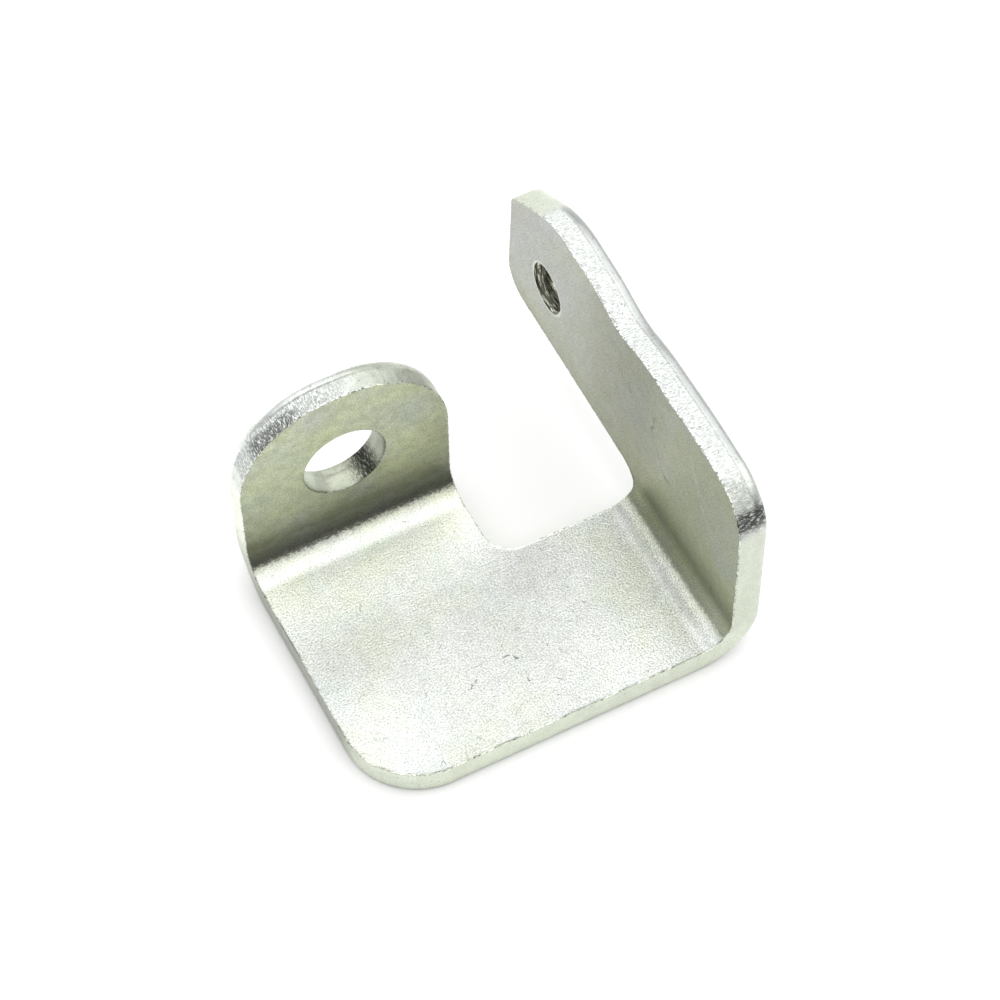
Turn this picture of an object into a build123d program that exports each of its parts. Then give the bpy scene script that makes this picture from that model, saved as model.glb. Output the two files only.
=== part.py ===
from build123d import *
from collections import Counter
from math import atan2, pi, tan
import os

# Folded and tapped bracket, one piece of zinc-plated sheet steel. Millimetres, +Z up.
# The base lies flat. A round-topped ear with a plain hole is folded up along its rear edge. A longer arm with a
# tapped hole is folded up along its right edge and reaches back past the ear, across a notch in the sheet.
# Sizes run back (+Y) from the base's front edge, across (+X) from its left edge and up from its underside.
# The finished part's origin is under the middle of its bounding box, on the plane of the underside.

# Sheet and folds
sheet = 3.0
bend_inner = 3.2
roll_radius = 0.45          # rounding that blanking draws into the rim of the outer skin

# Base
base_width = 40.0           # left edge to the arm's outer face
base_depth = 31.7           # front edge to the ear's outer face
base_corner = 7.6           # front left corner
notch_depth = 12.9          # ear's outer face to the notch's front edge
notch_corner = 3.0

# Ear
ear_width = 21.8
ear_crown_flat = 1.7        # level stretch between the two rounded shoulders
hole_diameter = 8.5
hole_height = 13.75
hole_to_crown = 10.25
hole_entry = 0.15           # rounding at the inner face, where the punch went in
hole_torn = 1.1             # length of the torn, flared wall at the outer face
hole_flare = 0.15           # how far that wall opens out

# Arm's outline, as the corner points of its rounded corners, from front to tip
arm_height = 26.45          # shoulder over the tapped hole
front_drop = 2.05           # front top corner, below the shoulder
front_corner = 7.9
crest_back = 10.5
crest_drop = 1.2
crest_radius = 40.0
waist_behind_notch = 4.5
waist_drop = 1.95
waist_radius = 9.0
waist_front_run = 4.8       # from the waist forward to where the edge levels out
waist_rear_run = 4.6        # from the waist back to where it levels out
waist_rear_drop = 0.8
waist_run_radius = 14.0
arm_reach = 45.6
shoulder_to_tip = 9.7
shoulder_radius = 11.0
tip_top_drop = 5.25         # end of the sloping edge, below the shoulder
tip_lean = 0.9              # how far the end edge leans forward at its top
tip_top_corner = 1.6
tip_foot_height = 7.75
tip_foot_corner = 3.1
root_height = 6.4           # the lower edge, where it meets the notch
root_corner = 3.0

# Tapped hole, M6: bored to the thread's minor diameter and countersunk from both faces
tap_minor = 5.0
tap_mouth = 6.0
tap_to_tip = 8.3
tap_height = 15.0

bend_outer = bend_inner + sheet
notch_front = base_depth - notch_depth
waist_back = notch_front + waist_behind_notch
ear_height = hole_height + hole_to_crown
ear_shoulder = (ear_width - ear_crown_flat) / 2
hole_radius = hole_diameter / 2
countersink = (tap_mouth - tap_minor) / 2
near = 1e-4


def folded_section(reach, height):
    """Section across one fold: a level leg, the bend and an upright leg."""
    outer = FilletPolyline((0, 0), (reach, 0), (reach, height), radius=bend_outer)
    inner = FilletPolyline(
        (reach - sheet, height), (reach - sheet, sheet), (0, sheet), radius=bend_inner
    )
    return make_face([outer, Line(outer @ 1, inner @ 0), inner, Line(inner @ 1, outer @ 0)])


def fitting_radius(before, corner, after, radius):
    """The corner's radius, or the largest that its two sides have room for."""
    sides = [Vector(*before) - Vector(*corner), Vector(*after) - Vector(*corner)]
    opening = abs(atan2(sides[0].cross(sides[1]).Z, sides[0].dot(sides[1])))
    room = min(side.length for side in sides) * 0.49
    return min(radius, room * tan(opening / 2)) if opening < pi - near else 0


def rounded_outline(corners):
    """Closed outline through (along, up, radius) corners."""
    points = [(along, up) for along, up, _ in corners]
    radii = [
        fitting_radius(points[i - 1], points[i], points[(i + 1) % len(points)], corner[2])
        for i, corner in enumerate(corners)
    ]
    return make_face(FilletPolyline(*points, radius=radii, close=True))


def ear_leg():
    """Left strip of the base with the ear standing at its rear."""
    strip = extrude(Plane.YZ * folded_section(base_depth, ear_height), ear_width)
    outline = rounded_outline([
        (0, 0, 0),
        (ear_width, 0, 0),
        (ear_width, ear_height, ear_shoulder),
        (0, ear_height, ear_shoulder),
    ])
    return strip & extrude(Plane.XZ * outline, -base_depth)


def arm_leg():
    """Front strip of the base with the arm standing at its right and reaching back."""
    strip = extrude(Plane.XZ * folded_section(base_width, arm_height), -arm_reach)
    outline = rounded_outline([
        (0, 0, 0),
        (0, arm_height - front_drop, front_corner),
        (crest_back, arm_height - crest_drop, crest_radius),
        (waist_back - waist_front_run, arm_height - crest_drop, waist_run_radius),
        (waist_back, arm_height - waist_drop, waist_radius),
        (waist_back + waist_rear_run, arm_height - waist_rear_drop, waist_run_radius),
        (arm_reach - shoulder_to_tip, arm_height, shoulder_radius),
        (arm_reach - tip_lean, arm_height - tip_top_drop, tip_top_corner),
        (arm_reach, tip_foot_height, tip_foot_corner),
        (notch_front, root_height, root_corner),
        (notch_front, 0, 0),
    ])
    return strip & extrude(Plane.YZ * outline, base_width)


def round_plan_corner(body, x, y, radius):
    """Round the base's upright edge at one place in plan."""
    edge = body.edges().filter_by(Axis.Z).sort_by_distance((x, y, sheet / 2))[0]
    return fillet(edge, radius)


def on_outer_skin(face):
    """True for the underside, the outer faces of the ear and the arm, and the outside of both bends."""
    if face.geom_type == GeomType.CYLINDER:
        return abs(face.radius - bend_outer) < near
    low, high = face.bounding_box().min, face.bounding_box().max
    underside = high.Z < near
    ear_back = low.Y > base_depth - near and high.Y < base_depth + near
    arm_outside = low.X > base_width - near
    return underside or ear_back or arm_outside


def roll_rim(body):
    """Round the rim of the outer skin, which the die drew down when the blank was cut."""
    uses = Counter(edge for face in filter(on_outer_skin, body.faces()) for edge in face.edges())
    return fillet([edge for edge, count in uses.items() if count == 1], roll_radius)


def turned(profile):
    """Body of revolution about +Z from (radius, height) points that start and end on the axis."""
    return revolve(Plane.XZ * make_face(Polyline(*profile, close=True)), Axis.Z)


def punched_hole():
    """Space of the ear's plain hole: sheared wall, then the torn and flared wall, along +Y."""
    space = turned([
        (0, 0),
        (hole_radius, 0),
        (hole_radius, sheet - hole_torn),
        (hole_radius + hole_flare, sheet),
        (0, sheet),
    ])
    inner_face = Plane((ear_width / 2, base_depth - sheet, hole_height), x_dir=(1, 0, 0), z_dir=(0, 1, 0))
    return inner_face * space


def tapped_hole():
    """Space of the arm's tapped hole to the thread's minor diameter, countersunk both sides, along +X."""
    space = turned([
        (0, 0),
        (tap_mouth / 2, 0),
        (tap_minor / 2, countersink),
        (tap_minor / 2, sheet - countersink),
        (tap_mouth / 2, sheet),
        (0, sheet),
    ])
    inner_face = Plane(
        (base_width - sheet, arm_reach - tap_to_tip, tap_height), x_dir=(0, 1, 0), z_dir=(1, 0, 0)
    )
    return inner_face * space


def round_hole_entry(body):
    """Round the plain hole's rim on the ear's inner face."""
    rim = body.edges().filter_by(GeomType.CIRCLE).sort_by_distance(
        (ear_width / 2 + hole_radius, base_depth - sheet, hole_height)
    )[0]
    return fillet(rim, hole_entry)


def bracket():
    body = ear_leg() + arm_leg()
    body = round_plan_corner(body, ear_width, notch_front, notch_corner)
    body = round_plan_corner(body, 0, 0, base_corner)
    body = roll_rim(body)
    body = round_hole_entry(body - punched_hole() - tapped_hole())
    box = body.bounding_box()
    return Pos(-box.center().X, -box.center().Y, -box.min.Z) * body


os.makedirs("parts", exist_ok=True)
export_step(bracket(), "parts/bracket.step")
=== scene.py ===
import math

import bpy
import numpy as np
from mathutils import Matrix, Vector
from mathutils.geometry import delaunay_2d_cdt


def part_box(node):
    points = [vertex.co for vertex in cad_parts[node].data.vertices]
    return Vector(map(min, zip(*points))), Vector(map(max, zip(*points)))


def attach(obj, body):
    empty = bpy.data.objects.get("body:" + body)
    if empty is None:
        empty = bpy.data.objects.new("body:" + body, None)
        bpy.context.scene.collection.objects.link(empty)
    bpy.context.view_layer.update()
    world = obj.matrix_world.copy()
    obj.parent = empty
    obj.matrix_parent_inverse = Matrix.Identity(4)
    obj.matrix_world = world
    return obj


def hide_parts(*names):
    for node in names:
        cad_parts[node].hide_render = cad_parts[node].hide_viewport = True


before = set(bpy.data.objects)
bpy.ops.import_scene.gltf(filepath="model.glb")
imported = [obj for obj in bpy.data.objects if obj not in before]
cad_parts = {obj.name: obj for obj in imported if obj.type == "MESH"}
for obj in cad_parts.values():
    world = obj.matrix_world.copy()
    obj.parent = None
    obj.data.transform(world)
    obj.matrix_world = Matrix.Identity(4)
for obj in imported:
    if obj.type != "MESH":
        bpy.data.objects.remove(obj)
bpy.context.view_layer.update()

MM = 0.001
SEED = 7

# ---- The folded sheet, in millimetres ---------------------------------------------------------
# Sizes run back (+Y) from the base's front edge, across (+X) from its left edge and up from its
# underside. A flat place is (across, back) on the unfolded sheet, and a height there counts from
# the outer skin (0) to the inner skin (SHEET).
SHEET = 3.0
MID = SHEET / 2
BEND_INNER = 3.2
BEND_OUTER = BEND_INNER + SHEET
BEND_MIDDLE = BEND_INNER + MID
QUARTER = BEND_MIDDLE * math.pi / 2          # flat length of one bend

BASE_WIDTH = 40.0
BASE_DEPTH = 31.7
BASE_CORNER = 7.6
NOTCH_FRONT = 18.8
NOTCH_CORNER = 3.0

EAR_WIDTH = 21.8
EAR_HEIGHT = 24.0
EAR_SHOULDER = 10.05

ARM_HEIGHT = 26.45
ARM_REACH = 45.6
WAIST_BACK = 23.3

BEND_RIGHT = BASE_WIDTH - BEND_OUTER         # where the arm's bend starts, across
BEND_REAR = BASE_DEPTH - BEND_OUTER          # where the ear's bend starts, back
ARM_START = BEND_RIGHT + QUARTER             # where the arm starts, across
EAR_START = BEND_REAR + QUARTER              # where the ear starts, back
NOTCH_MIDDLE = (EAR_WIDTH + BEND_RIGHT) / 2  # the ear lies left of it and the arm right of it

ARM_CORNERS = (                              # back, height and radius, from the front to the notch
    (0.0, ARM_HEIGHT - 2.05, 7.9),           # front corner
    (10.5, ARM_HEIGHT - 1.2, 40.0),          # crest
    (WAIST_BACK - 4.8, ARM_HEIGHT - 1.2, 14.0),
    (WAIST_BACK, ARM_HEIGHT - 1.95, 9.0),    # waist
    (WAIST_BACK + 4.6, ARM_HEIGHT - 0.8, 14.0),
    (ARM_REACH - 9.7, ARM_HEIGHT, 11.0),     # shoulder
    (ARM_REACH - 0.9, ARM_HEIGHT - 5.25, 1.6),   # tip
    (ARM_REACH, 7.75, 3.1),                  # foot
    (NOTCH_FRONT, 6.4, 3.0),                 # corner of the notch
)

# Mesh
MARGIN = 0.9                                 # ring of fine mesh round every edge
EDGE_STEP = 0.19                             # spacing of mesh columns along an edge
TAP_STEP = 0.1                               # and round the tapped hole
FIELD_STEP = 0.55                            # spacing of mesh points across the skins
SHARP_ANGLE = math.radians(50)

# Looks of an edge, as distances from it
WALL_REACH = 0.14                            # how far onto the inner skin the cut wall's look runs
ROLL_REACH = 0.55                            # and onto the outer skin, over its rounded rim
WALL_SOFT = 0.1                              # and over what distance it fades
RIM_REACH = 0.25                             # radius of the inner rim's painted shade and painted highlight
RIM_SQUASH = 0.8                             # and how it shrinks through the sheet
THREAD_INSET = 0.02                          # where the thread's painted shade starts, from a skin
THREAD_SOFT = 0.06                           # and over what distance it fades in

# Edge left by blanking
ROLL_HIGH = 0.95                             # rounding of the outer rim, through the sheet
ROLL_DEEP = 0.42                             # and along its skin
ROLL_RINGS = 8
WALL_RINGS = 12
WALL_TOP = 0.06                              # first ring of the cut wall, below the inner skin
SKIN_RINGS = (-MARGIN, -0.6, -0.38, -0.24)   # flat rings of the inner skin beside the burr
BURR_RINGS = (                               # offset, share of the raggedness, share of the burr
    (-0.15, 0, 0.15), (-0.09, 0, 0.75), (-0.045, 1, 1.0), (-0.01, 1, 0.35),
)
BURR = 0.05                                  # height of the burr over the inner skin
BURR_SPREAD = 0.045
RAGGED = 0.03                                # waviness of the inner rim
STRIATION = 0.006                            # scores the punch leaves through the sheet
TORN_DEEP = 0.018                            # draw-in of the torn part of the cut wall
TORN_SPREAD = 0.006
BEND_PINCH = 0.05                            # draw-in of the cut wall at the middle of a bend

# The ear's plain hole, punched from the inner side
HOLE_RADIUS = 4.25
HOLE_HEIGHT = 13.75
HOLE_BACK = EAR_START + HOLE_HEIGHT - BEND_OUTER   # its flat place, back
HOLE_ENTRY = 0.15                            # rounding of its entry
HOLE_TORN = 1.1                              # height where its torn part starts
HOLE_FLARE = 0.15                            # and how far that part opens
HOLE_STEP = 0.04                             # draw-in where it starts

# The arm's tapped hole
TAP_HEIGHT = 15.0
TAP_INSET = 8.3                              # from the arm's reach
TAP_MOUTH = 2.8                              # radius of its countersinks
THREAD_PITCH = 1.0
THREAD_MAJOR = 3.0
THREAD_MINOR = 2.5
THREAD_RINGS = 60
THREAD_FLAT = 0.11                           # half the width of the thread's crest, in pitches
THREAD_FLANK = 0.36                          # width of one flank, in pitches

# Waves of the skins
WAVE = 0.010                                 # height of the long ones
RIPPLE = 0.0035                              # and of the short ones
OUTER_WAVE = 0.4                             # share of the waves that the outer skin shows
OUTER_LIFT = 0.006                           # keeps that skin inside the solid

low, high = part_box("bracket")
ORIGIN = Vector((low.x / MM, low.y / MM, 0.0))   # the base's front left corner


# ---- Flat outline -----------------------------------------------------------------------------

def arm_flat(height):
    """Flat distance of a height on the arm or the ear, counted from the start of its bend."""
    return QUARTER + height - BEND_OUTER


def flat_corners():
    """Corners (across, back, radius) of the flat sheet, anticlockwise seen from its inner side."""
    ear_top = BEND_REAR + arm_flat(EAR_HEIGHT)
    arm = [(BEND_RIGHT + arm_flat(height), back, radius) for back, height, radius in ARM_CORNERS]
    ear = [
        (EAR_WIDTH, NOTCH_FRONT, NOTCH_CORNER),
        (EAR_WIDTH, ear_top, EAR_SHOULDER),
        (0, ear_top, EAR_SHOULDER),
    ]
    return [(0, 0, BASE_CORNER)] + arm + ear


def rounded_loop(corners, step):
    """Evenly spaced points and outward normals round a closed outline with rounded corners."""
    points = [Vector(corner[:2]) for corner in corners]
    count = len(points)
    arcs = []
    ends = []
    for i, corner in enumerate(points):
        before, after = corner - points[i - 1], points[(i + 1) % count] - corner
        into, out = before.normalized(), after.normalized()
        turn = math.atan2(into.x * out.y - into.y * out.x, into.dot(out))
        room = min(before.length, after.length) * 0.49
        radius = min(corners[i][2], room / math.tan(abs(turn) / 2))
        reach = radius * math.tan(abs(turn) / 2)
        side = 1 if turn > 0 else -1
        centre = corner - into * reach + Vector((-into.y, into.x)) * radius * side
        start = math.atan2(-into.x * side, into.y * side)
        ends.append((corner - into * reach, corner + out * reach))
        arcs.append(("arc", centre, radius, start, turn, side))
    path = []
    for i in range(count):
        path.append(("line", ends[i - 1][1], ends[i][0]))
        path.append(arcs[i])
    lengths = [
        (part[2] - part[1]).length if part[0] == "line" else abs(part[4]) * part[2]
        for part in path
    ]
    total = sum(lengths)
    samples = round(total / step)
    starts = np.concatenate([[0], np.cumsum(lengths)])
    places, normals = [], []
    for k in range(samples):
        along = k * total / samples
        which = min(int(np.searchsorted(starts, along, side="right")) - 1, len(path) - 1)
        share = (along - starts[which]) / max(lengths[which], 1e-9)
        part = path[which]
        if part[0] == "line":
            direction = (part[2] - part[1]).normalized()
            place = part[1].lerp(part[2], share)
            normal = Vector((direction.y, -direction.x))
        else:
            _, centre, radius, start, turn, side = part
            angle = start + turn * share
            ray = Vector((math.cos(angle), math.sin(angle)))
            place = centre + ray * radius
            normal = ray * side
        places.append(place[:])
        normals.append(normal[:])
    return np.array(places), np.array(normals), total


def circle_loop(centre, radius, step):
    """Points round a hole and normals into it, clockwise, so the sheet stays on the left."""
    samples = round(2 * math.pi * radius / step)
    angle = -np.arange(samples) * 2 * math.pi / samples
    ray = np.stack([np.cos(angle), np.sin(angle)], 1)
    return np.array(centre) + ray * radius, -ray, 2 * math.pi * radius


# ---- Relief -----------------------------------------------------------------------------------

def smooth_field(places, wavelengths, waves, rng):
    """Gentle waves over the flat sheet: sines of random direction and phase, about -1 to 1."""
    value = np.zeros(len(places))
    for _ in range(waves):
        angle, phase = rng.uniform(0, 2 * math.pi, 2)
        length = rng.uniform(*wavelengths)
        ray = np.array([math.cos(angle), math.sin(angle)]) * 2 * math.pi / length
        value += np.sin(places @ ray + phase)
    return value / math.sqrt(waves / 2) / 2


def edge_noise(count, total, wavelengths, waves, rng):
    """Closed random profile along an edge, about -1 to 1."""
    along = np.arange(count) / count
    value = np.zeros(count)
    for _ in range(waves):
        turns = max(1, round(total / rng.uniform(*wavelengths)))
        value += np.sin(2 * math.pi * turns * along + rng.uniform(0, 2 * math.pi))
    return value / math.sqrt(waves / 2) / 2


# ---- Folding ----------------------------------------------------------------------------------

def fold(flat, height):
    """Places of flat sheet points, at a height over the outer skin, once both bends are made."""
    across, back = flat[:, 0], flat[:, 1]
    rho = BEND_OUTER - height
    turn_r = np.clip((across - BEND_RIGHT) / BEND_MIDDLE, 0, math.pi / 2)
    rise_r = np.maximum(across - ARM_START, 0)
    on_ear = across < NOTCH_MIDDLE
    turn_b = np.where(on_ear, np.clip((back - BEND_REAR) / BEND_MIDDLE, 0, math.pi / 2), 0)
    rise_b = np.where(on_ear, np.maximum(back - EAR_START, 0), 0)
    x = np.minimum(across, BEND_RIGHT) + rho * np.sin(turn_r)
    y = np.where(turn_b > 0, BEND_REAR, back) + rho * np.sin(turn_b)
    z = BEND_OUTER - rho * np.cos(turn_r + turn_b) + rise_r + rise_b
    return np.stack([x, y, z], 1)


def bend_share(flat):
    """How far into either bend a flat place is: 0 outside it, 1 at its middle."""
    across, back = flat[:, 0], flat[:, 1]
    right = (across - BEND_RIGHT) / QUARTER
    rear = np.where(across < NOTCH_MIDDLE, (back - BEND_REAR) / QUARTER, -1)

    def bump(share):
        inside_bend = (share > 0) & (share < 1)
        return np.where(inside_bend, np.sin(np.clip(share, 0, 1) * math.pi) ** 2, 0)
    return bump(right) + bump(rear)


# ---- Tones, painted on the mesh by flat place ---------------------------------------------------
# Positions in these functions are flat places in millimetres, and the rest are shares or strengths.

def smoothstep(value, start, end):
    """0 before start, 1 after end, smooth between them."""
    share = np.clip((value - start) / (end - start), 0, 1)
    return share * share * (3 - 2 * share)


def fade_out(value, start, end):
    """1 before start, 0 after end, smooth between them."""
    return 1 - smoothstep(value, start, end)


def patch(flat, across, back, reach):
    """Soft round patch: 1 at its middle, 0 beyond its reach."""
    return fade_out(np.hypot(flat[:, 0] - across, flat[:, 1] - back), 0, reach)


def patches(flat, table):
    """Sum of the patches in a table of (strength, across, back, reach)."""
    return sum(strength * patch(flat, *place) for strength, *place in table)


def right_bend(flat, start, end):
    """0 to 1 across a part of the arm's bend, given as shares of its flat length."""
    return smoothstep(flat[:, 0], BEND_RIGHT + start * QUARTER, BEND_RIGHT + end * QUARTER)


def rear_bend(flat, start, end):
    """0 to 1 across a part of the ear's bend, given as shares of its flat length."""
    return smoothstep(flat[:, 1], BEND_REAR + start * QUARTER, BEND_REAR + end * QUARTER)


def ear_share(flat):
    """0 on the base, 1 on the ear, blended across the bend between them."""
    return rear_bend(flat, 0, 1) * (flat[:, 0] < NOTCH_MIDDLE)


def hole_share(flat):
    """1 round the ear's plain hole, 0 elsewhere."""
    return 1.0 * (np.hypot(flat[:, 0] - EAR_WIDTH / 2, flat[:, 1] - HOLE_BACK) < 5)


def crest_share(flat):
    """1 along the arm's upper edge, 0 elsewhere."""
    crest = smoothstep(flat[:, 0] - ARM_START, 14, 17)
    return crest * smoothstep(flat[:, 1], 2.5, 6.5) * fade_out(flat[:, 1], 37.5, 39.5)


WARM_PATCHES = ((0.45, 17.5, 38.5, 5.5), (-0.50, 8.0, 48.9, 3.4))   # yellow and cool ones, ear
WARM_BASE = (8.0, 23.0, 6.0)                 # a faint yellow one by the ear's bend
BASE_PATCHES = (                             # lighter and darker ones, for the base's brightness
    (-0.05, 20, 13, 9), (-0.12, 24.5, 18, 7), (-0.05, 5, 16, 9),
    (0.11, 3.5, 6, 8), (0.10, 29, 2, 9),
)
EAR_PATCHES = (                              # the same on the ear
    (0.09, 17.0, 38.5, 5), (0.11, 4, 35, 6), (-0.07, 12.5, 34.5, 5), (-0.06, 9.0, 48.5, 3),
)


def warmth(flat, height, wall):
    """How yellow the plating's bloom is, 0 to 1: most on the ear, less on the arm's front."""
    across, back = flat[:, 0], flat[:, 1]
    value = 0.06 + 0.74 * ear_share(flat)
    value += right_bend(flat, 0, 1) * (0.50 - 0.36 * smoothstep(back, 18, 40))
    value += patches(flat, WARM_PATCHES)
    value += 0.08 * patch(flat, *WARM_BASE) * (height > MID)
    value += 0.35 * right_bend(flat, 0.4, 0.6) * fade_out(across, ARM_START + 1, ARM_START + 7)
    value = np.where(height < MID, value * 0.35, value)
    return np.clip(value * (1 - 0.6 * wall) + 0.6 * wall * hole_share(flat), 0, 1)


def base_reflectance_and_painted_highlights(flat):
    """Reflectance of the base with painted highlights: brightest beside the ear's bend and inside
    the arm's, where highlights are painted on, with lighter and darker patches.
    """
    across, back = flat[:, 0], flat[:, 1]
    value = 0.67 + 0.08 * smoothstep(across, 18, 28)
    # Painted highlight: a bright zone on the base beside the ear's bend, eased where it meets the
    # bend.
    rear = smoothstep(back, 15, 26) - 0.45 * rear_bend(flat, 0.1, 0.3)
    value += 0.34 * rear * fade_out(across, 20, 29)
    value += patches(flat, BASE_PATCHES)
    # Painted highlights along the arm's bend crease, strongest towards the front, and a bright
    # patch at its front end.
    value += right_bend(flat, 0.28, 0.42) * (0.14 + 0.20 * fade_out(back, 3, 12))
    return value + 0.20 * right_bend(flat, 0, 0.15) * fade_out(back, 1.5, 5)


def cut_wall_reflectance_and_painted_light(flat, height):
    """Reflectance of the cut walls with painted light: painted highlight on the crest, painted
    shade on the left edge, in the plain hole, on the ear's right and on the arm's front by its
    bend.
    """
    across, back = flat[:, 0], flat[:, 1]
    left = fade_out(across, 0.5, 1.5) * smoothstep(back, 5, 9) * fade_out(back, 30, 36)
    # Painted shade on the left edge and on the arm's front beside its bend.
    value = 0.70 - 0.34 * left - 0.10 * right_bend(flat, 0.50, 0.95) * fade_out(back, 2, 6)
    # Painted light on the ear's walls: brighter on its left, painted shade on its right.
    value += ear_share(flat) * (0.16 - 0.29 * smoothstep(across, 9, 15))
    # Painted shade in the plain hole.
    value = value * (1 - 0.38 * hole_share(flat))
    # Painted highlight on the crest's upper wall, painted shade on its lower band.
    return value + crest_share(flat) * (0.30 - 0.50 * fade_out(height, 0.80, 1.15))


def reflectance_and_painted_light(flat, height, wall):
    """Reflectance of the plating with painted light: painted highlight on the base by the ear's
    bend, and the ear and arm painted duller than the base as painted shade.
    """
    back = flat[:, 1]
    base = base_reflectance_and_painted_highlights(flat)
    # Painted shade: the upright ear and arm get less brightness than the base, and the arm least
    # from 20 to 24 mm back.
    on_ear = 0.62 + 0.06 * smoothstep(back, 44, 48) + patches(flat, EAR_PATCHES)
    on_arm = 0.55 - 0.13 * smoothstep(back, 12, 20) + 0.08 * smoothstep(back, 24, 32)
    skin = base + (on_ear - base) * ear_share(flat)
    skin += (on_arm - base) * right_bend(flat, 0.50, 0.95)
    skin = np.where(height < MID, 0.80, skin)
    return skin + (cut_wall_reflectance_and_painted_light(flat, height) - skin) * wall


def smoothness(flat):
    """1 where the press tools have smoothed the sheet: both bends, fading out beyond them."""
    across, back = flat[:, 0], flat[:, 1]

    def band(place, start):
        rise = smoothstep(place, start + 2.6, start + 4.4)
        return rise * fade_out(place, start + QUARTER, start + QUARTER + 6)
    ear = np.where(across < NOTCH_MIDDLE, band(back, BEND_REAR), 0)
    return np.maximum(band(across, BEND_RIGHT), ear)


def torn_strength(flat):
    """How rough the torn part of the cut wall is: most on the crest and the ear's left shoulder."""
    across, back = flat[:, 0], flat[:, 1]
    corner = 0.7 * smoothstep(across - ARM_START, 12.5, 14.5) * fade_out(back, 2.5, 6.5)
    ear = smoothstep(back - EAR_START, 6, 12) * (across < EAR_WIDTH + 1)
    ear *= 1 - 0.8 * smoothstep(across, 10, 15)
    return 0.10 + 0.90 * np.clip(crest_share(flat) + corner + 0.9 * ear, 0, 1)


CORNER_DARK_PATCH = (56.6, 0.8, 2.0)              # across, back and reach of the arm's front corner
HOLE_DARK_PATCH = (13.4, 37.0, 2.6)               # and of the right side of the plain hole


def wall_dark_patches(flat, height):
    """Darker, glittering patches on the cut walls of the ear, the arm and the plain hole."""
    across, back = flat[:, 0], flat[:, 1]
    deep = smoothstep(height, 0.5, 2.0)
    shoulder = smoothstep(back, 45.0, 47.5) * fade_out(across, 2.5, 5.0) * (0.35 + 0.65 * deep)
    beside = 0.9 * smoothstep(back, 45.5, 48) * fade_out(across, 5.5, 9.5) * deep
    corner = patch(flat, *CORNER_DARK_PATCH) * 1.4
    hole = patch(flat, *HOLE_DARK_PATCH) * 1.1
    above = 0.7 * smoothstep(across - ARM_START, 15.6, 16.6) * (back < 8)
    crest = 0.40 * np.maximum(crest_share(flat), above) * smoothstep(height, 0.8, 1.1)
    ear_top = 0.45 * (back > 44) * fade_out(across, 9, 14) * smoothstep(height, 0.6, 1.0)
    ear_top *= across < EAR_WIDTH
    return np.clip(np.maximum.reduce([shoulder, beside, corner, hole, crest, ear_top]), 0, 1)


# ---- Mesh -------------------------------------------------------------------------------------

class Sheet:
    """Collects the sheet's mesh: flat places, heights, edge coordinates and faces."""

    def __init__(self):
        self.flat, self.height, self.edge, self.faces = [], [], [], []
        self.count = 0

    def add(self, flat, height, edge):
        first = self.count
        self.flat.append(flat)
        self.height.append(height)
        self.edge.append(edge)
        self.count += len(flat)
        return np.arange(first, self.count)

    def bridge(self, ring_a, ring_b):
        """Quads between two closed rings of equal length."""
        next_a, next_b = np.roll(ring_a, -1), np.roll(ring_b, -1)
        self.faces += np.stack([ring_a, next_a, next_b, ring_b], 1).tolist()


def edge_coordinates(along, height, wall, rim=0.0, thread=0.0):
    """Per point: distance along the edge, height, and shares of cut wall, inner rim and thread."""
    rim, thread = np.broadcast_to(rim, len(along)), np.broadcast_to(thread, len(along))
    return np.stack([along, height, wall, rim, thread], 1)


def build_edge(sheet, loop, rows, thread=0.0):
    """Add the rings of one edge and the quads between them. Returns the first and last rings."""
    places, normals, total = loop
    along = np.arange(len(places)) * total / len(places)
    rings = []
    for offset, height in rows:
        offset = np.broadcast_to(np.asarray(offset, float), len(places))
        height = np.broadcast_to(np.asarray(height, float), len(places))
        ring_flat = places + normals * offset[:, None]
        lip = THREAD_MINOR - TAP_MOUTH if thread else 0.0
        reach = np.where((height < MID) & (thread == 0), ROLL_REACH, WALL_REACH)
        wall = np.clip((offset - lip + reach) / WALL_SOFT, 0, 1)
        from_rim = np.hypot(offset - lip, (height - SHEET) * RIM_SQUASH)
        rim = np.clip(1 - from_rim / RIM_REACH, 0, 1) * (1 - thread)
        depth = np.minimum(height, SHEET - height)
        inside_thread = thread * np.clip((depth - THREAD_INSET) / THREAD_SOFT, 0, 1)
        edge = edge_coordinates(along, height, wall, rim, inside_thread)
        rings.append(sheet.add(ring_flat, height, edge))
    for upper, lower in zip(rings, rings[1:]):
        sheet.bridge(lower, upper)
    return rings[0], rings[-1]


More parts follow.
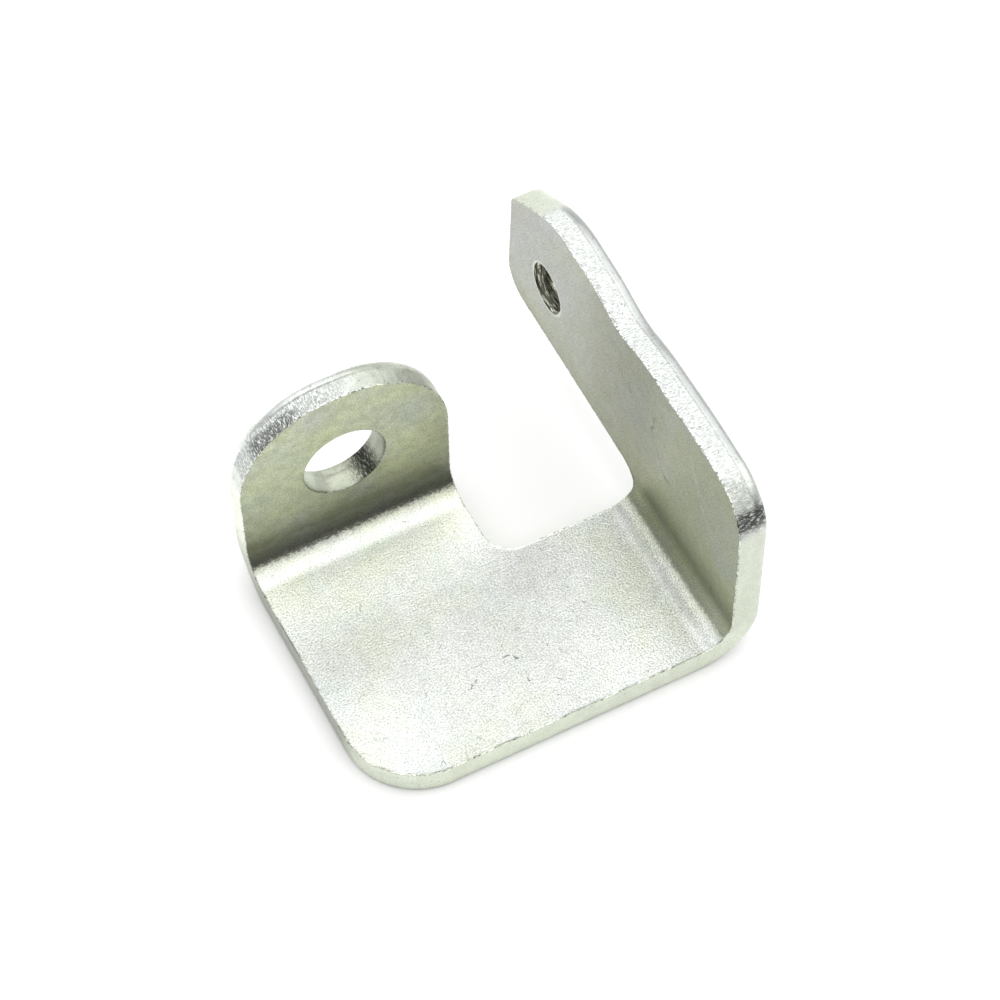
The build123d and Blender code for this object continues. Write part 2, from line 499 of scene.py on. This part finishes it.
def outer_rows(loop, rng):
    """Profile of the blanked outline: inner skin, burr, cut wall, rounded rim, outer skin."""
    places, _, total = loop
    across, back = places[:, 0], places[:, 1]
    count = len(places)
    coarse = edge_noise(count, total, (3, 14), 24, rng)
    fine = edge_noise(count, total, (0.5, 1.6), 60, rng)
    lower = smoothstep(back, 16, 19) * (across < BEND_RIGHT + arm_flat(ARM_HEIGHT - 4))
    calm = 1 - 0.7 * lower * smoothstep(across, EAR_WIDTH + 1, EAR_WIDTH + 3)
    burr = BURR + BURR_SPREAD * calm * np.clip(coarse + 0.8 * fine, -1.0, 1.6)
    ragged = RAGGED * fine * calm
    striation = STRIATION * edge_noise(count, total, (0.4, 0.9), 80, rng)
    torn = TORN_DEEP * (1 + 0.5 * coarse) + TORN_SPREAD * fine
    pinch = -BEND_PINCH * bend_share(places)
    rows = [(offset, SHEET) for offset in SKIN_RINGS]
    rows += [(offset + rag * ragged, SHEET + rise * burr) for offset, rag, rise in BURR_RINGS]
    for i in range(WALL_RINGS):
        top = SHEET - WALL_TOP
        height = top - (top - ROLL_HIGH) * i / (WALL_RINGS - 1)
        level = (height - ROLL_HIGH) / (SHEET - ROLL_HIGH)
        tear = np.clip((height - ROLL_HIGH) / 0.8, 0, 1)
        rows.append((pinch * (1 - level) - torn * tear + striation, height))
    for i in range(1, ROLL_RINGS + 1):
        angle = i / ROLL_RINGS * math.pi / 2
        offset = -ROLL_DEEP * (1 - math.cos(angle)) + (pinch + striation) * math.cos(angle)
        rows.append((offset, ROLL_HIGH * (1 - math.sin(angle))))
    rows += [(-0.6, 0.0), (-MARGIN, 0.0)]
    return [(np.minimum(offset, 0), height) for offset, height in rows]


def punched_rows(loop, rng):
    """Profile of the ear's plain hole: rounded entry, sheared land, then the torn flare."""
    places, _, total = loop
    count = len(places)
    fine = edge_noise(count, total, (0.6, 2.0), 40, rng)
    coarse = edge_noise(count, total, (3, 9), 8, rng)
    striation = 0.005 * edge_noise(count, total, (0.4, 0.9), 40, rng)
    rows = [(-MARGIN, SHEET), (-0.6, SHEET), (-0.35, SHEET), (-HOLE_ENTRY, SHEET)]
    for i in range(1, 5):
        angle = i / 4 * math.pi / 2
        offset = -HOLE_ENTRY * (1 - math.sin(angle))
        rows.append((offset, SHEET - HOLE_ENTRY * (1 - math.cos(angle))))
    break_height = HOLE_TORN + 0.12 * coarse + 0.03 * fine
    land = SHEET - HOLE_ENTRY
    for share in (0.25, 0.5, 0.75, 0.95):
        rows.append((striation, land - (land - break_height) * share))
    rows.append((-0.02, break_height - 0.02))
    for share in (0.15, 0.4, 0.65, 0.9):
        rough = 0.02 * fine * math.sin(share * math.pi)
        offset = -HOLE_STEP - (HOLE_FLARE - HOLE_STEP) * share + rough
        rows.append((offset, break_height * (1 - share)))
    rows += [(-HOLE_FLARE - 0.02, 0.02), (-HOLE_FLARE - 0.07, 0.0)]
    return rows + [(-0.6, 0.0), (-MARGIN, 0.0)]


def thread_rows(loop):
    """Profile of the tapped hole: a helical M6 thread between two countersinks."""
    count = len(loop[0])
    turn = np.arange(count) / count
    mouth = TAP_MOUTH - THREAD_MINOR
    rows = [(-MARGIN - mouth, SHEET), (-0.3 - mouth, SHEET), (-mouth, SHEET)]
    for i in range(1, THREAD_RINGS):
        height = SHEET * (1 - i / THREAD_RINGS)
        phase = (height / THREAD_PITCH + turn) % 1.0
        flank = 0.5 - np.abs(phase - 0.5) - THREAD_FLAT
        groove = np.clip(flank, 0, THREAD_FLANK) / THREAD_FLANK
        sink = max(mouth - height, mouth - (SHEET - height), 0)
        rows.append((-np.maximum(groove * (THREAD_MAJOR - THREAD_MINOR), sink), height))
    return rows + [(-mouth, 0.0), (-0.3 - mouth, 0.0), (-MARGIN - mouth, 0.0)]


def inside(points, loops):
    """True for points inside the first loop and outside the others, by crossing count."""
    state = np.zeros(len(points), bool)
    for loop in loops:
        for (ax, ay), (bx, by) in zip(loop, np.roll(loop, -1, 0)):
            cross = (ay > points[:, 1]) != (by > points[:, 1])
            if cross.any():
                at = ax + (points[cross, 1] - ay) * (bx - ax) / (by - ay)
                state[cross] ^= points[cross, 0] < at
    return state


def nearest(points, ring):
    """Distance from each point to the nearest ring point, worked out in batches."""
    best = np.full(len(points), np.inf)
    batch = 200
    for start in range(0, len(ring), batch):
        part = ring[start:start + batch]
        gap = np.hypot(points[:, None, 0] - part[None, :, 0], points[:, None, 1] - part[None, :, 1])
        best = np.minimum(best, gap.min(1))
    return best


def skin_grid(loops):
    """Triangular grid of flat places between the edges' rings."""
    ring = np.concatenate(loops)
    low_corner, high_corner = ring.min(0), ring.max(0)
    columns = np.arange(low_corner[0], high_corner[0], FIELD_STEP)
    grid = []
    rows = np.arange(low_corner[1], high_corner[1], FIELD_STEP * 0.8660254)
    for j, back in enumerate(rows):
        shift = FIELD_STEP / 2 if j % 2 else 0
        grid += [(across + shift, back) for across in columns]
    grid = np.array(grid)
    return grid[inside(grid, loops) & (nearest(grid, ring) > FIELD_STEP * 0.45)]


def fill_skins(sheet, rings_top, rings_bottom, loops):
    """Fill both skins inside the edges' rings with one triangulation, reversed for the outer."""
    points, edges = [], []
    for flat in loops:
        first = len(points)
        points += [Vector(p) for p in flat]
        edges += [(first + i, first + (i + 1) % len(flat)) for i in range(len(flat))]
    border = len(points)
    points += [Vector(p) for p in skin_grid(loops)]
    verts, _, faces, origin, _, _ = delaunay_2d_cdt(points, edges, [], 1, 1e-6)
    flat = np.array([v[:] for v in verts])
    sources = [o[0] if o else -1 for o in origin]
    inner = [i for i, s in enumerate(sources) if s >= border or s < 0]
    skins = []
    for rings, height in ((rings_top, SHEET), (rings_bottom, 0.0)):
        level = np.full(len(inner), height)
        ids = sheet.add(flat[inner], level, edge_coordinates(0 * level, level, 0 * level))
        ring_ids = np.concatenate(rings)
        lookup = np.empty(len(flat), int)
        lookup[inner] = ids
        for i, s in enumerate(sources):
            if 0 <= s < border:
                lookup[i] = ring_ids[s]
        skins.append(lookup)
    top, bottom = skins
    centres = np.array([flat[list(face)].mean(0) for face in faces])
    for (a, b, c), wanted in zip(faces, inside(centres, loops)):
        if wanted:
            sheet.faces.append([int(top[i]) for i in (a, b, c)])
            sheet.faces.append([int(bottom[i]) for i in (c, b, a)])


def build_sheet(rng):
    """The flat sheet's mesh: its three edges, then both skins between them."""
    sheet = Sheet()
    outline = rounded_loop(flat_corners(), EDGE_STEP)
    plain = circle_loop((EAR_WIDTH / 2, HOLE_BACK), HOLE_RADIUS, EDGE_STEP)
    tap_place = (BEND_RIGHT + arm_flat(TAP_HEIGHT), ARM_REACH - TAP_INSET)
    tap = circle_loop(tap_place, THREAD_MINOR, TAP_STEP)
    tops, bottoms, flats = [], [], []
    edges = (
        (outline, outer_rows(outline, rng), 0.0),
        (plain, punched_rows(plain, rng), 0.0),
        (tap, thread_rows(tap), 1.0),
    )
    for loop, rows, thread in edges:
        top, bottom = build_edge(sheet, loop, rows, thread)
        tops.append(top)
        bottoms.append(bottom)
        flats.append(loop[0] + loop[1] * rows[0][0])
    fill_skins(sheet, tops, bottoms, flats)
    return sheet


def paint(mesh, flat, height, edge):
    """Point attributes that the material reads, three values in each."""
    wall, rim, thread = edge[:, 2], edge[:, 3], edge[:, 4]
    layers = {
        "flat": [flat[:, 0], flat[:, 1], height],
        "edge": [edge[:, 0], edge[:, 1], wall],
        "tone": [warmth(flat, height, wall), smoothness(flat), reflectance_and_painted_light(flat, height, wall)],
        "mark": [rim, thread, torn_strength(flat)],
        "wall_darkening": [wall_dark_patches(flat, height), ear_share(flat), np.zeros(len(flat))],
    }
    for name, values in layers.items():
        layer = mesh.attributes.new(name, "FLOAT_VECTOR", "POINT")
        layer.data.foreach_set("vector", np.column_stack(values).astype(np.float32).ravel())


def build_bracket():
    rng = np.random.default_rng(SEED)
    sheet = build_sheet(rng)
    flat = np.concatenate(sheet.flat)
    height = np.concatenate(sheet.height)
    wave = WAVE * smooth_field(flat, (9, 26), 14, rng)
    wave = wave + RIPPLE * smooth_field(flat, (2.5, 6), 24, rng)
    wave = np.where(height > MID, wave, OUTER_WAVE * wave + OUTER_LIFT)
    places = (fold(flat, height + wave) + np.array(ORIGIN)) * MM
    mesh = bpy.data.meshes.new("bracket_sheet")
    mesh.from_pydata(places.tolist(), [], sheet.faces)
    paint(mesh, flat, height, np.concatenate(sheet.edge))
    mesh.shade_smooth()
    mesh.set_sharp_from_angle(angle=SHARP_ANGLE)
    piece = bpy.data.objects.new("bracket_sheet", mesh)
    bpy.context.scene.collection.objects.link(piece)
    return piece


# ---- Materials --------------------------------------------------------------------------------

class Graph:
    """Short ways to add and join shader nodes."""

    def __init__(self, tree):
        self.nodes, self.links = tree.nodes, tree.links

    def put(self, socket, value):
        if isinstance(value, bpy.types.NodeSocket):
            self.links.new(value, socket)
        else:
            socket.default_value = value

    def node(self, kind, inputs=None, **settings):
        node = self.nodes.new(kind)
        for name, value in settings.items():
            setattr(node, name, value)
        for name, value in (inputs or {}).items():
            self.put(node.inputs[name], value)
        return node

    def attribute(self, name):
        return self.node("ShaderNodeAttribute", attribute_name=name).outputs["Vector"]

    def parts(self, vector):
        return self.node("ShaderNodeSeparateXYZ", {"Vector": vector}).outputs

    def math(self, operation, a, b=0.0, clamp=False):
        node = self.node("ShaderNodeMath", operation=operation, use_clamp=clamp)
        self.put(node.inputs[0], a)
        self.put(node.inputs[1], b)
        return node.outputs[0]

    def add(self, a, b):
        return self.math("ADD", a, b)

    def take(self, a, b):
        return self.math("SUBTRACT", a, b)

    def times(self, a, b):
        return self.math("MULTIPLY", a, b)

    def vector(self, operation, a, b):
        node = self.node("ShaderNodeVectorMath", operation=operation)
        self.put(node.inputs[0], a)
        self.put(node.inputs["Scale" if operation == "SCALE" else 1], b)
        scalar = operation in ("DISTANCE", "DOT_PRODUCT")
        return node.outputs["Value" if scalar else "Vector"]

    def ramp(self, value, start, end, low=0.0, high=1.0, smooth=True):
        """Map start..end to low..high, held beyond both."""
        kind = "SMOOTHSTEP" if smooth else "LINEAR"
        sockets = {
            "Value": value, "From Min": start, "From Max": end, "To Min": low, "To Max": high,
        }
        return self.node("ShaderNodeMapRange", sockets, interpolation_type=kind).outputs["Result"]

    def noise(self, vector, scale, detail=2.0, rough=0.5, shift=None, output="Fac"):
        """Noise with scale features a millimetre, moved by shift so that no two are alike."""
        if shift:
            vector = self.stretch(vector, (1, 1, 1), shift)
        sockets = {"Vector": vector, "Scale": scale, "Detail": detail, "Roughness": rough}
        return self.node("ShaderNodeTexNoise", sockets).outputs[output]

    def stretch(self, vector, scale, shift=(0, 0, 0)):
        sockets = {"Vector": vector, "Scale": scale, "Location": shift}
        return self.node("ShaderNodeMapping", sockets).outputs["Vector"]

    def mix(self, share, a, b, blend="MIX"):
        """Mix two colours."""
        settings = {"data_type": "RGBA", "blend_type": blend}
        return self.mixed(self.node("ShaderNodeMix", {"Factor": share}, **settings), a, b)

    def blend(self, share, a, b):
        """Mix two numbers."""
        return self.mixed(self.node("ShaderNodeMix", {"Factor": share}, data_type="FLOAT"), a, b)

    def mixed(self, node, a, b):
        self.put(node.inputs["A"], a)
        self.put(node.inputs["B"], b)
        return node.outputs["Result"]


def new_material(name):
    material = bpy.data.materials.new(name)
    material.use_nodes = True
    return material, Graph(material.node_tree), material.node_tree.nodes["Principled BSDF"]


ZINC = (0.980, 1.0, 0.970, 1)
ZINC_WARM = (0.945, 1.0, 0.655, 1)
ZINC_COOL = (0.900, 1.0, 0.960, 1)
ZINC_CUT = (0.930, 1.0, 0.800, 1)
ZINC_TORN = (0.960, 1.0, 0.970, 1)
# Painted shade and painted highlight of the tapped hole's thread
THREAD_PAINTED_SHADE = (0.15, 0.15, 0.12, 1)
THREAD_PAINTED_HIGHLIGHT = (0.95, 0.95, 0.82, 1)
PIT = (0.20, 0.20, 0.18, 1)

ROUGH_FLAT = 0.46
ROUGH_BEND = 0.36
ROUGH_WALL = 0.32
BUMP_DEPTH = 0.00004                         # metres

# Darkest the sand grain gets, as a share of the plating's own brightness
GRAIN_BASE = 0.64
GRAIN_EAR = 0.74
GRAIN_BEND = 0.50
GRAIN_WALL = 0.93
SKIN_LIMIT = 1.10                            # brightest the plating gets before the grain

# Handling marks on the inner skin: flat places joined by straight strokes, width, strength
SCRATCHES = (
    (((54.4, 15.8), (52.3, 16.3), (49.7, 15.1), (47.7, 13.5), (48.2, 12.1)), 0.42, -0.38),
    (((56.8, 9.4), (54.3, 8.3), (51.4, 6.7), (49.2, 4.6)), 0.50, 0.20),
    (((17.3, 8.6), (18.4, 7.9)), 0.30, -0.75),
    (((18.2, 5.9), (18.1, 5.2), (18.6, 5.0)), 0.32, -0.75),
    (((12.7, 6.8), (13.7, 7.5)), 0.28, -0.65),
    (((26.1, 10.8), (26.7, 10.3)), 0.30, -0.7),
    (((20.7, 4.0), (21.1, 3.4)), 0.30, -0.6),
    (((2.5, 6.1), (3.3, 5.5)), 0.9, -0.2),
)


def stroke(graph, place, start, end, width):
    """1 on the line between two flat places on the inner skin, 0 beyond half its width."""
    span = Vector((end[0] - start[0], end[1] - start[1], 0))
    away = graph.vector("SUBTRACT", place, (start[0], start[1], SHEET))
    share = graph.vector("DOT_PRODUCT", away, tuple(span / span.length_squared))
    share = graph.ramp(share, 0, 1, smooth=False)
    gap = graph.vector("DISTANCE", away, graph.vector("SCALE", tuple(span), share))
    return graph.ramp(gap, 0, width / 2, 1, 0)


def scratches(graph, place):
    """Brightness the handling marks add, below 0 where they are dark: wandering broken lines."""
    wander = graph.noise(place, 1.3, 1.0, output="Color")
    shake = graph.vector("SUBTRACT", wander, (0.5, 0.5, 0.5))
    shake = graph.vector("MULTIPLY", shake, (1.1, 1.1, 0))
    shaken = graph.vector("ADD", place, shake)
    broken = graph.ramp(graph.noise(place, 2.5, 1.0, 0.7), 0.40, 0.56, 0.25, 1.0)
    total = 0.0
    for places, width, strength in SCRATCHES:
        for start, end in zip(places, places[1:]):
            line = stroke(graph, shaken, start, end, width)
            total = graph.add(total, graph.times(line, strength))
    return graph.times(total, broken)


def hairlines(graph, place, wall):
    """Short curved nicks scattered thinly: contours of one noise, kept where another is high."""
    wander = graph.noise(place, 0.6, 1.0, shift=(12, 90, 4))
    line = graph.ramp(graph.math("ABSOLUTE", graph.take(wander, 0.5)), 0.0, 0.008, 1.0, 0.0)
    kept = graph.noise(place, 0.6, 1.0, 0.7, shift=(60, 20, 70))
    line = graph.times(line, graph.ramp(kept, 0.60, 0.68))
    return graph.times(line, graph.take(1.0, wall))


def bend_painted_shade(graph, place, grain):
    """Painted shade inside both bends: sharp, grainy start by the base, fading up the legs, with a
    shallow dark strip on the base's side of the arm's bend.
    """
    across, back, height = graph.parts(place)
    ragged = graph.noise(place, 2.8, 2.0, 0.75)
    shake = graph.take(graph.add(graph.times(ragged, 2.0), graph.times(grain, 2.2)), 2.1)
    inner = graph.math("GREATER_THAN", height, MID)
    on_ear = graph.math("LESS_THAN", across, NOTCH_MIDDLE)

    def rear(share):
        return BEND_REAR + share * QUARTER

    shaken = graph.add(back, shake)
    rise = graph.ramp(shaken, rear(0.46), rear(0.56))
    fall = graph.ramp(back, rear(0.60), EAR_START + 9.0, 0.77, 0.0, smooth=False)
    ear = graph.times(graph.times(rise, fall), on_ear)

    def right(share):
        return BEND_RIGHT + share * QUARTER

    shaken = graph.add(across, graph.times(shake, 0.8))
    rise = graph.ramp(shaken, right(0.44), right(0.54))
    fall = graph.ramp(across, right(0.50), right(0.80), 0.52, 0.30)
    fade = graph.ramp(across, right(0.80), ARM_START + 4.5, 1.0, 0.0, smooth=False)
    arm = graph.times(rise, graph.times(fall, fade))
    # Painted shade: a shallow dark strip on the base's side of the arm's bend.
    dip_shade = graph.ramp(shaken, right(0.08), right(0.20), 0, 0.24)
    dip_shade = graph.times(dip_shade, graph.ramp(shaken, right(0.26), right(0.36), 1, 0))
    return graph.times(graph.math("MAXIMUM", ear, graph.math("MAXIMUM", arm, dip_shade)), inner)


def grain_shade(graph, place, grain, ear, wall):
    """Dark pits of the sand grain, deepest on the base's side of the arm's bend."""
    across = graph.parts(place)["X"]
    rise = graph.ramp(across, BEND_RIGHT - 1, BEND_RIGHT + 0.1 * QUARTER)
    fall = graph.ramp(across, BEND_RIGHT + 0.5 * QUARTER, BEND_RIGHT + 0.65 * QUARTER, 1, 0)
    depth = graph.blend(ear, GRAIN_BASE, GRAIN_EAR)
    depth = graph.blend(graph.times(rise, fall), depth, GRAIN_BEND)
    depth = graph.blend(wall, depth, GRAIN_WALL)
    return graph.ramp(grain, 0.34, 0.60, depth, 1.08, smooth=False)


def plating_tint(graph, place, wall, warm, strength):
    """Pale zinc with a yellow bloom, cool clouds, cut walls and tiny dark pits."""
    bloom = graph.ramp(graph.noise(place, 0.20), 0.28, 0.72, -0.16, 0.16)
    tint = graph.mix(graph.math("ADD", warm, bloom, clamp=True), ZINC, ZINC_WARM)
    cloud = graph.noise(place, 0.30, 2.0, 0.6, shift=(31, 7, 5))
    tint = graph.mix(graph.ramp(cloud, 0.45, 0.75, 0, 0.4), tint, ZINC_COOL)
    tint = graph.mix(graph.times(wall, 0.8), tint, ZINC_CUT)
    tint = graph.mix(graph.times(wall, strength), tint, ZINC_TORN)
    speck = graph.noise(place, 4.5, shift=(3, 50, 9))
    return graph.mix(graph.ramp(speck, 0.64, 0.72, 0, 0.55), tint, PIT)


def rim_painted_shade(graph, place, rim, ragged):
    """Painted shade along the inner rim under the burr, broken into nicks and thinned out in
    places.
    """
    sparse = graph.ramp(graph.noise(place, 0.45, 1.0, 0.6), 0.38, 0.58, 0.6, 1.0)
    rim_shade = graph.times(graph.ramp(rim, 0.35, 0.75), graph.ramp(ragged, 0.50, 0.62))
    return graph.times(rim_shade, sparse)


def zinc_colour(graph, place, edge_place, marks, grain, streak):
    """The plating's colour and brightness, with painted highlights and painted shade, dark marks
    and wear, and the thread's painted shade and highlights.
    """
    # The tone attribute's third value is the plating's reflectance with its painted highlights and
    # painted shade.
    warm, _, painted_light_and_reflectance = graph.parts(graph.attribute("tone"))
    rim, thread, strength = graph.parts(graph.attribute("mark"))
    dark, ear, _ = graph.parts(graph.attribute("wall_darkening"))
    wall = graph.parts(edge_place)["Z"]
    ragged = graph.noise(place, 3.2, 2.0, 0.8, shift=(80, 2, 1))

    colour = plating_tint(graph, place, wall, warm, strength)
    colour = graph.mix(graph.times(marks, 0.35), colour, PIT)
    # Painted shade along the inner rim, mixed towards the dark pit colour.
    colour = graph.mix(graph.times(rim_painted_shade(graph, place, rim, ragged), 0.9), colour, PIT)
    # Painted shade and highlights inside the tapped hole: a dark thread with light streaks along
    # its turns.
    turns = graph.noise(graph.stretch(edge_place, (0.9, 7.0, 1)), 1.0, 2.0, 0.7)
    thread_shade_and_highlight = graph.mix(graph.ramp(turns, 0.50, 0.62), THREAD_PAINTED_SHADE, THREAD_PAINTED_HIGHLIGHT)
    colour = graph.mix(thread, colour, thread_shade_and_highlight)

    # The painted shade of the bends darkens the plating's brightness.
    bend_shade_share = graph.times(bend_painted_shade(graph, place, grain), graph.take(1.0, wall))
    bright = graph.times(graph.blend(thread, painted_light_and_reflectance, 1.0), graph.take(1.0, bend_shade_share))
    bright = graph.math("MINIMUM", bright, SKIN_LIMIT)
    bright = graph.times(bright, grain_shade(graph, place, grain, ear, wall))
    mottle = graph.noise(place, 0.9, 3.0, 0.6, shift=(5, 33, 8))
    mottle = graph.ramp(mottle, 0.3, 0.7, -0.10, 0.10)
    mottle = graph.times(mottle, graph.blend(ear, 0.5, 1.0))
    bright = graph.times(bright, graph.add(mottle, 1.0))
    glitter = graph.ramp(graph.take(streak, graph.times(dark, 0.10)), 0.40, 0.58, 0.14, 1.25)
    broken = graph.times(graph.times(dark, wall), graph.take(1.0, thread))
    bright = graph.times(bright, graph.blend(broken, 1.0, glitter))
    # Painted highlight: a bright, broken line on the inner rim's crest, strongest where the cut
    # wall is torn.
    glint = graph.times(graph.ramp(rim, 0.45, 0.7), graph.ramp(ragged, 0.50, 0.42))
    bright = graph.add(bright, graph.times(glint, graph.times(strength, 0.5)))
    bright = graph.times(bright, graph.add(scratches(graph, place), 1.0))
    return graph.mix(1.0, colour, graph.math("MINIMUM", bright, 1.0), blend="MULTIPLY")


def zinc_material():
    """Bright zinc plate: sandy flats, smoother bends, torn and striated cut edges."""
    material, graph, shader = new_material("zinc_plate")
    place = graph.attribute("flat")
    edge_place = graph.attribute("edge")
    _, height, wall = graph.parts(edge_place)
    pressed = graph.parts(graph.attribute("tone"))["Y"]
    strength = graph.parts(graph.attribute("mark"))["Z"]
    torn = graph.times(graph.times(wall, strength), graph.ramp(height, 0.85, 1.15))

    grain = graph.noise(place, 6.0, 2.0, 0.6)
    swell = graph.noise(place, 4.0, shift=(9, 9, 40))
    streak = graph.noise(graph.stretch(edge_place, (6.5, 1.7, 1)), 1.0, 3.0, 0.75)
    marks = hairlines(graph, place, wall)
    colour = zinc_colour(graph, place, edge_place, marks, grain, streak)
    graph.put(shader.inputs["Base Color"], colour)

    rough = graph.blend(pressed, ROUGH_FLAT, ROUGH_BEND)
    rough = graph.blend(wall, rough, ROUGH_WALL)
    blotch = graph.ramp(graph.noise(place, 0.5, 1.0, 0.6), 0.3, 0.7, -0.03, 0.03)
    graph.put(shader.inputs["Roughness"], graph.add(rough, blotch))
    shader.inputs["Metallic"].default_value = 1.0

    coarse = graph.add(grain, graph.times(swell, 0.8))
    skin = graph.times(coarse, graph.blend(wall, 1.0, 0.35))
    skin = graph.take(skin, graph.times(marks, 0.6))
    relief = graph.add(skin, graph.times(graph.times(streak, torn), 4.0))
    sockets = {"Strength": 1.0, "Distance": BUMP_DEPTH, "Height": relief}
    bump = graph.node("ShaderNodeBump", sockets)
    graph.put(shader.inputs["Normal"], bump.outputs["Normal"])
    return material


def floor_material():
    material, _, shader = new_material("studio_floor")
    shader.inputs["Base Color"].default_value = (0.90, 0.90, 0.90, 1)
    shader.inputs["Roughness"].default_value = 0.9
    return material


# ---- Stage ------------------------------------------------------------------------------------

def add_floor():
    size = 3.0                               # half its side, metres
    mesh = bpy.data.meshes.new("floor")
    corners = [(-size, -size, 0), (size, -size, 0), (size, size, 0), (-size, size, 0)]
    mesh.from_pydata(corners, [], [(0, 1, 2, 3)])
    floor = bpy.data.objects.new("floor", mesh)
    bpy.context.scene.collection.objects.link(floor)
    mesh.materials.append(floor_material())


# The solved view: the eye's place from the base's front left corner in millimetres, two of the
# camera's axes, and its lens as a multiple of the sensor's width
EYE = (-53.1, -131.72, 257.27)
VIEW_RIGHT = (0.8877, -0.4603, -0.0097)
VIEW_UP = (0.3832, 0.7271, 0.5696)
SENSOR = 36
LENS = 3.1591


def add_camera():
    right, up = Vector(VIEW_RIGHT), Vector(VIEW_UP)
    camera = bpy.data.cameras.new("camera")
    camera.sensor_width = SENSOR
    camera.lens = SENSOR * LENS
    camera.shift_x = -0.00046
    camera.shift_y = -0.01208
    camera.clip_start = 0.01
    holder = bpy.data.objects.new("camera", camera)
    turn = Matrix((right, up, right.cross(up))).transposed().to_4x4()
    holder.matrix_world = Matrix.Translation((Vector(EYE) + ORIGIN) * MM) @ turn
    bpy.context.scene.collection.objects.link(holder)
    bpy.context.scene.camera = holder


LIGHT_ELEVATIONS = (5, 18, 30, 42, 55, 70, 90)
LIGHT_BY_SIDE = {                            # axis that points to the side, then its radiances
    "front": ("Y", -1, (0.0, 0.0, 0.1, 1.5, 2.0, 1.8, 4.2)),
    "left": ("X", -1, (0.5, 0.2, 0.6, 1.4, 1.0, 1.5, 4.2)),
    "back": ("Y", 1, (0.9, 0.6, 0.9, 1.6, 1.2, 2.0, 4.2)),
    "right": ("X", 1, (0.9, 0.9, 1.2, 2.2, 1.6, 2.0, 4.2)),
}
BRIGHTEST = 5.0                              # a colour ramp's stops stay below 1
BACKDROP = 0.9


def side_light(graph, height, levels):
    """Radiance on one side of the studio, by the height of a direction."""
    ramp = graph.node("ShaderNodeValToRGB", {"Fac": height})
    stops = ramp.color_ramp.elements
    while len(stops) < len(levels):
        stops.new(0.5)
    for stop, elevation, level in zip(stops, LIGHT_ELEVATIONS, levels):
        stop.position = math.sin(math.radians(elevation))
        stop.color = (level / BRIGHTEST,) * 3 + (1,)
    return ramp.outputs["Color"]


def add_world():
    """Soft studio: a bright ceiling over grey walls, darkest in front, where the camera stands."""
    world = bpy.data.worlds.new("studio")
    world.use_nodes = True
    graph = Graph(world.node_tree)
    direction = graph.parts(graph.node("ShaderNodeTexCoord").outputs["Generated"])
    height = direction["Z"]
    level_share = graph.math("MAXIMUM", graph.take(1.0, graph.times(height, height)), 1e-4)
    light = 0.0
    for axis, sign, levels in LIGHT_BY_SIDE.values():
        toward = graph.math("MAXIMUM", graph.times(direction[axis], sign), 0.0)
        share = graph.math("DIVIDE", graph.times(toward, toward), level_share)
        light = graph.add(light, graph.times(side_light(graph, height, levels), share))
    background = world.node_tree.nodes["Background"]
    seen = graph.node("ShaderNodeLightPath").outputs["Is Camera Ray"]
    light = graph.times(light, BRIGHTEST)
    graph.put(background.inputs["Strength"], graph.blend(seen, light, BACKDROP))
    background.inputs["Color"].default_value = (1, 1, 1, 1)
    bpy.context.scene.world = world


bracket = build_bracket()
bracket.data.materials.append(zinc_material())
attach(bracket, "root")
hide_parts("bracket")

add_floor()
add_world()
add_camera()
bpy.context.scene.view_settings.view_transform = "Standard"
